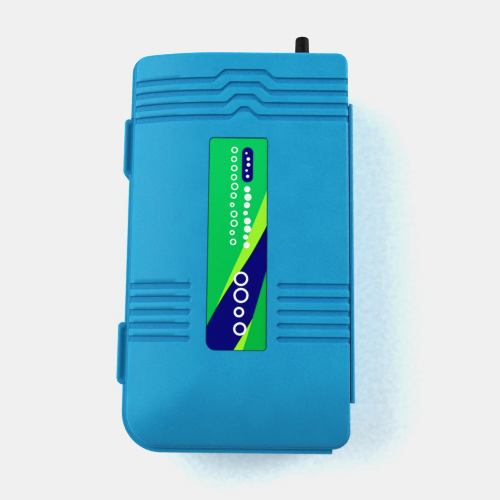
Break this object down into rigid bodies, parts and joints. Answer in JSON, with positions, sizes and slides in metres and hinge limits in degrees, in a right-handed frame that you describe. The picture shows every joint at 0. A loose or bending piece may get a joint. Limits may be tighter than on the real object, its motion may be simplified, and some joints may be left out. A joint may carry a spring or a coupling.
{
  "type": "battery air pump",
  "caption": "Portable battery aquarium air pump: hinged box with latches, slide switch, D cells, and a motor-driven diaphragm pump feeding an air outlet.",
  "frame": {"origin": "middle of the flat back face, which the pump lies on", "axes": "+Z out through the lid, +Y along the case towards the end with the air outlet, +X towards the hinge side"},
  "size_m": [0.0966, 0.1764, 0.042],
  "materials": {
    "case_blue": "satin",
    "black_plastic": "satin",
    "black_rubber": "matt",
    "white_plastic": "satin",
    "steel": "plain",
    "nickel": "bright",
    "copper": "enamelled winding",
    "ferrite": "matt",
    "silicone": "smooth",
    "felt": "matt",
    "label_green": "printed",
    "cell_jacket": "printed jacket over steel",
    "red_wire": "satin",
    "black_wire": "satin"
  },
  "bodies": {
    "case": {"base_shell": "case_blue", "hinge_web": "case_blue", "latch_pin_upper": "steel", "latch_pin_lower": "steel", "outlet_nozzle": "black_plastic", "nozzle_seal": "black_rubber", "nozzle_nut": "steel", "switch_body": "black_plastic", "switch_screw_left": "steel", "switch_screw_right": "steel", "intake_filter": "felt", "battery_tray": "case_blue", "cell_left": "cell_jacket", "cell_right": "cell_jacket", "contact_positive": "nickel", "contact_negative": "nickel", "contact_bridge": "nickel", "spring_bridge": "nickel", "spring_negative": "nickel", "mechanism_cover": "case_blue", "cover_screw_1": "steel", "cover_screw_2": "steel", "cover_screw_3": "steel", "cover_screw_4": "steel", "motor_can": "steel", "motor_end_cap": "black_plastic", "motor_magnet_lower": "ferrite", "motor_magnet_upper": "ferrite", "motor_sleeve": "black_rubber", "motor_saddle": "case_blue", "motor_strap": "steel", "strap_screw_lower": "steel", "strap_screw_upper": "steel", "rocker_pin": "steel", "rocker_bracket": "case_blue", "pump_head": "white_plastic", "inlet_flap": "black_rubber", "outlet_flap": "black_rubber", "head_gasket": "black_rubber", "diaphragm": "black_rubber", "clamp_ring": "white_plastic", "head_screw_near": "steel", "head_screw_far": "steel", "air_tube": "silicone", "wire_positive": "red_wire", "wire_switch": "red_wire", "wire_negative": "black_wire"},
    "lid": {"lid_shell": "case_blue", "lid_label": "label_green"},
    "upper_latch": {"latch_upper": "case_blue"},
    "lower_latch": {"latch_lower": "case_blue"},
    "knob": {"switch_knob": "black_plastic"},
    "rotor": {"motor_rotor": "copper", "motor_commutator": "copper", "motor_shaft": "steel", "eccentric": "black_plastic", "eccentric_bearing": "steel"},
    "rocker": {"rocker_arm": "white_plastic", "diaphragm_washer": "steel", "diaphragm_screw": "steel"}
  },
  "joints": [
    {"name": "lid_hinge", "type": "hinge", "parent": "case", "child": "lid", "pos_m": [0.0454, 0, 0.03215], "axis": [0, 1, 0], "range_deg": [0, 165], "deforming": ["hinge_web"]},
    {"name": "upper_latch_pivot", "type": "hinge", "parent": "case", "child": "upper_latch", "pos_m": [-0.0472, 0.043, 0.0195], "axis": [0, -1, 0], "range_deg": [0, 100]},
    {"name": "lower_latch_pivot", "type": "hinge", "parent": "case", "child": "lower_latch", "pos_m": [-0.0472, -0.043, 0.0195], "axis": [0, -1, 0], "range_deg": [0, 100]},
    {"name": "switch_slide", "type": "slide", "parent": "case", "child": "knob", "axis": [1, 0, 0], "range_m": [0, 0.004]},
    {"name": "motor_spin", "type": "hinge", "parent": "case", "child": "rotor", "pos_m": [-0.034, 0.028, 0.0155], "axis": [1, 0, 0], "continuous": true},
    {"name": "rocker_swing", "type": "hinge", "parent": "case", "child": "rocker", "pos_m": [-0.0012, 0.006, 0.0155], "axis": [1, 0, 0], "range_deg": [-1.5, 1.5], "deforming": ["diaphragm"]}
  ]
}
